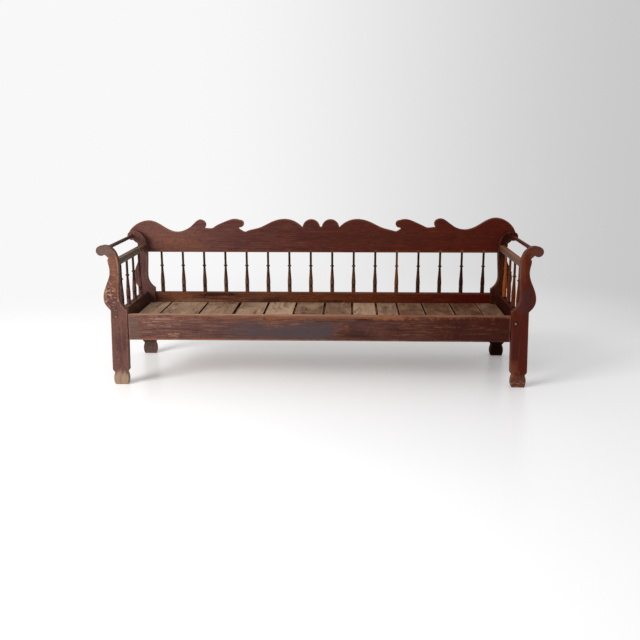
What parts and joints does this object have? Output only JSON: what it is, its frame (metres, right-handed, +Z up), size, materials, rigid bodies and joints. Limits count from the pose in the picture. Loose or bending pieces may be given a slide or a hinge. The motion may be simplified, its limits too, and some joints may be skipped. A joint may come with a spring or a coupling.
{
  "type": "pull-out bench bed",
  "caption": "Wooden bench bed with S-scroll posts, a scalloped crest and turned spindles; its apron and every other seat board draw forward, and legs fold down to carry them.",
  "frame": {"origin": "on the floor, under the middle of the bench's overall box", "axes": "+X along the bench, to the sitter's left and to the right as seen from the front; +Y from front to back; +Z up"},
  "size_m": [2.1861, 0.657, 0.7826],
  "materials": {
    "stained_wood": "worn satin, red-brown stain",
    "seat_wood": "matte, weathered bare wood",
    "inner_wood": "matte, unfinished",
    "iron": "dark, dull"
  },
  "bodies": {
    "frame": {"back_cleat": "inner_wood", "back_rail": "stained_wood", "back_spindle_01": "stained_wood", "back_spindle_02": "stained_wood", "back_spindle_03": "stained_wood", "back_spindle_04": "stained_wood", "back_spindle_05": "stained_wood", "back_spindle_06": "stained_wood", "back_spindle_07": "stained_wood", "back_spindle_08": "stained_wood", "back_spindle_09": "stained_wood", "back_spindle_10": "stained_wood", "back_spindle_11": "stained_wood", "back_spindle_12": "stained_wood", "back_spindle_13": "stained_wood", "back_spindle_14": "stained_wood", "back_spindle_15": "stained_wood", "back_spindle_16": "stained_wood", "crest_board": "stained_wood", "end_cleats": "inner_wood", "front_bearer": "inner_wood", "front_left_post": "stained_wood", "front_right_post": "stained_wood", "left_arm_rail": "stained_wood", "left_arm_rod": "stained_wood", "left_arm_spindle_1": "stained_wood", "left_arm_spindle_2": "stained_wood", "left_arm_spindle_3": "stained_wood", "left_arm_spindle_4": "stained_wood", "left_end_rail": "stained_wood", "rear_left_post": "stained_wood", "rear_right_post": "stained_wood", "right_arm_rail": "stained_wood", "right_arm_rod": "stained_wood", "right_arm_spindle_1": "stained_wood", "right_arm_spindle_2": "stained_wood", "right_arm_spindle_3": "stained_wood", "right_arm_spindle_4": "stained_wood", "right_end_rail": "stained_wood", "seat_board_01": "seat_wood", "seat_board_03": "seat_wood", "seat_board_05": "seat_wood", "seat_board_07": "seat_wood", "seat_board_09": "seat_wood", "seat_board_11": "seat_wood", "seat_board_13": "seat_wood"},
    "tray": {"front_apron": "stained_wood", "apron_ledger": "inner_wood", "left_slide_rail": "inner_wood", "right_slide_rail": "inner_wood", "slide_stops": "inner_wood", "pivot_bolts": "iron", "seat_board_02": "seat_wood", "seat_board_04": "seat_wood", "seat_board_06": "seat_wood", "seat_board_08": "seat_wood", "seat_board_10": "seat_wood", "seat_board_12": "seat_wood"},
    "left_leg": {"left_fold_leg": "inner_wood"},
    "right_leg": {"right_fold_leg": "inner_wood"}
  },
  "joints": [
    {"name": "pull_out", "type": "slide", "parent": "frame", "child": "tray", "axis": [0, -1, 0], "range_m": [0, 0.4]},
    {"name": "left_leg_fold", "type": "hinge", "parent": "tray", "child": "left_leg", "pos_m": [-0.7, -0.2532, 0.2627], "axis": [0, 1, 0], "range_deg": [0, 90]},
    {"name": "right_leg_fold", "type": "hinge", "parent": "tray", "child": "right_leg", "pos_m": [0.7, -0.2532, 0.2627], "axis": [0, -1, 0], "range_deg": [0, 90]}
  ]
}
